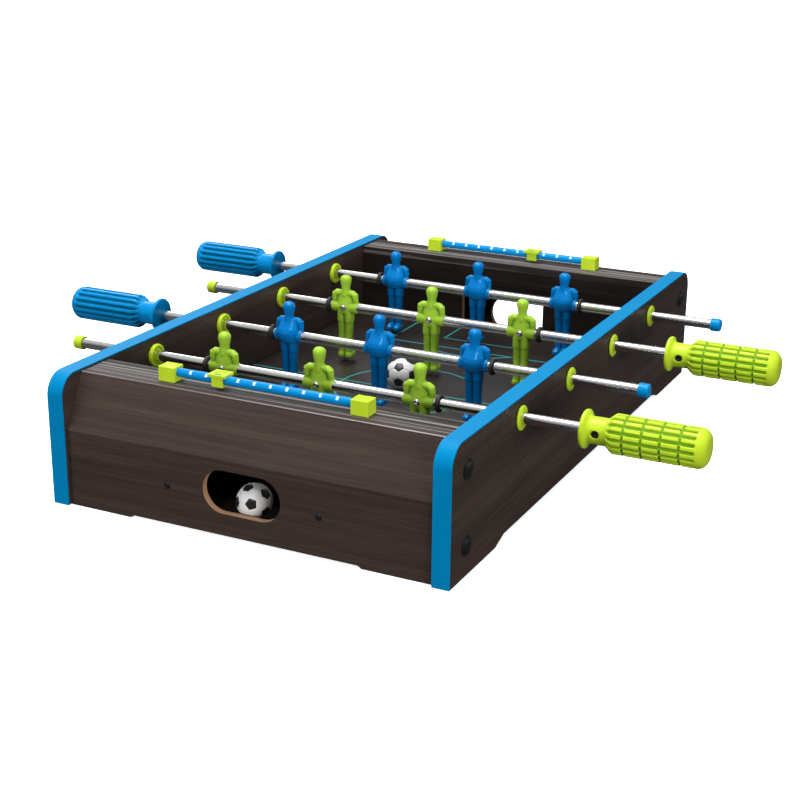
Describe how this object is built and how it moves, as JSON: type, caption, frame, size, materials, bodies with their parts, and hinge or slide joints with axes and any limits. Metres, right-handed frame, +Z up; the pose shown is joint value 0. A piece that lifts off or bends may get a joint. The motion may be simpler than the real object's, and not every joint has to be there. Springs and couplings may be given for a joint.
{
  "type": "foosball table",
  "caption": "Tabletop football game: open box with goals, sliding and turning rods of moulded men, push handles, ball returns and bead scorers.",
  "frame": {"origin": "on the standing surface, under the middle of the table", "axes": "+X along the rods towards the green handles, +Y along the field away from the end with the ball in its slot, +Z up"},
  "size_m": [0.5676, 0.5, 0.1077],
  "materials": {
    "wood_foil": "dark brown wood-grain foil, satin",
    "edge_band": "bright blue edge banding, semi-gloss",
    "green_plastic": "lime green moulded plastic, glossy",
    "blue_plastic": "mid blue moulded plastic, glossy",
    "chrome": "bright chrome plate on steel tube",
    "black_rubber": "black rubber, dull",
    "ball_white": "white plastic with black pentagons",
    "field_print": "printed dark field with thin teal lines, satin",
    "tray_board": "dark board, dull"
  },
  "bodies": {
    "frame": {"side_panel_left": "wood_foil", "edge_band_left": "edge_band", "side_panel_right": "wood_foil", "edge_band_right": "edge_band", "playfield": "field_print", "end_cover_near": "wood_foil", "end_rail_near": "wood_foil", "goal_wall_near": "wood_foil", "ball_tray_near": "tray_board", "scorer_bar_near": "blue_plastic", "end_cover_far": "wood_foil", "end_rail_far": "wood_foil", "goal_wall_far": "wood_foil", "ball_tray_far": "tray_board", "scorer_bar_far": "blue_plastic", "bushing_1_left": "green_plastic", "bushing_1_right": "green_plastic", "bushing_2_left": "green_plastic", "bushing_2_right": "green_plastic", "bushing_3_left": "green_plastic", "bushing_3_right": "green_plastic", "bushing_4_left": "green_plastic", "bushing_4_right": "green_plastic"},
    "rod_1_stops": {"bumper_1_left": "black_rubber", "bumper_1_right": "black_rubber"},
    "rod_1_team": {"rod_1": "chrome", "handle_1": "green_plastic", "end_cap_1": "green_plastic", "man_1_1": "green_plastic", "man_1_2": "green_plastic", "man_1_3": "green_plastic"},
    "rod_2_stops": {"bumper_2_left": "black_rubber", "bumper_2_right": "black_rubber"},
    "rod_2_team": {"rod_2": "chrome", "handle_2": "blue_plastic", "end_cap_2": "blue_plastic", "man_2_1": "blue_plastic", "man_2_2": "blue_plastic", "man_2_3": "blue_plastic"},
    "rod_3_stops": {"bumper_3_left": "black_rubber", "bumper_3_right": "black_rubber"},
    "rod_3_team": {"rod_3": "chrome", "handle_3": "green_plastic", "end_cap_3": "green_plastic", "man_3_1": "green_plastic", "man_3_2": "green_plastic", "man_3_3": "green_plastic"},
    "rod_4_stops": {"bumper_4_left": "black_rubber", "bumper_4_right": "black_rubber"},
    "rod_4_team": {"rod_4": "chrome", "handle_4": "blue_plastic", "end_cap_4": "blue_plastic", "man_4_1": "blue_plastic", "man_4_2": "blue_plastic", "man_4_3": "blue_plastic"},
    "score_marker_near": {"scorer_slider_near": "green_plastic"},
    "score_marker_far": {"scorer_slider_far": "green_plastic"},
    "play_ball": {"ball_in_play": "ball_white"},
    "return_ball": {"ball_returned": "ball_white"}
  },
  "joints": [
    {"name": "rod_1_slide", "type": "slide", "parent": "frame", "child": "rod_1_stops", "axis": [1, 0, 0], "range_m": [-0.042, 0.042]},
    {"name": "rod_1_spin", "type": "hinge", "parent": "rod_1_stops", "child": "rod_1_team", "pos_m": [0, -0.13935, 0.0805], "axis": [1, 0, 0], "continuous": true},
    {"name": "rod_2_slide", "type": "slide", "parent": "frame", "child": "rod_2_stops", "axis": [1, 0, 0], "range_m": [-0.042, 0.042]},
    {"name": "rod_2_spin", "type": "hinge", "parent": "rod_2_stops", "child": "rod_2_team", "pos_m": [0, -0.04645, 0.0805], "axis": [1, 0, 0], "continuous": true},
    {"name": "rod_3_slide", "type": "slide", "parent": "frame", "child": "rod_3_stops", "axis": [1, 0, 0], "range_m": [-0.042, 0.042]},
    {"name": "rod_3_spin", "type": "hinge", "parent": "rod_3_stops", "child": "rod_3_team", "pos_m": [0, 0.04645, 0.0805], "axis": [1, 0, 0], "continuous": true},
    {"name": "rod_4_slide", "type": "slide", "parent": "frame", "child": "rod_4_stops", "axis": [1, 0, 0], "range_m": [-0.042, 0.042]},
    {"name": "rod_4_spin", "type": "hinge", "parent": "rod_4_stops", "child": "rod_4_team", "pos_m": [0, 0.13935, 0.0805], "axis": [1, 0, 0], "continuous": true},
    {"name": "score_near_slide", "type": "slide", "parent": "frame", "child": "score_marker_near", "axis": [1, 0, 0], "range_m": [-0.0262, 0.0952]},
    {"name": "score_far_slide", "type": "slide", "parent": "frame", "child": "score_marker_far", "axis": [1, 0, 0], "range_m": [-0.0813, 0.0401]},
    {"name": "play_ball_lift", "type": "slide", "parent": "frame", "child": "play_ball", "axis": [0, 0, 1], "range_m": [0, 0.1]},
    {"name": "return_ball_roll", "type": "slide", "parent": "frame", "child": "return_ball", "axis": [1, 0, 0], "range_m": [-0.1155, 0.1165]}
  ]
}
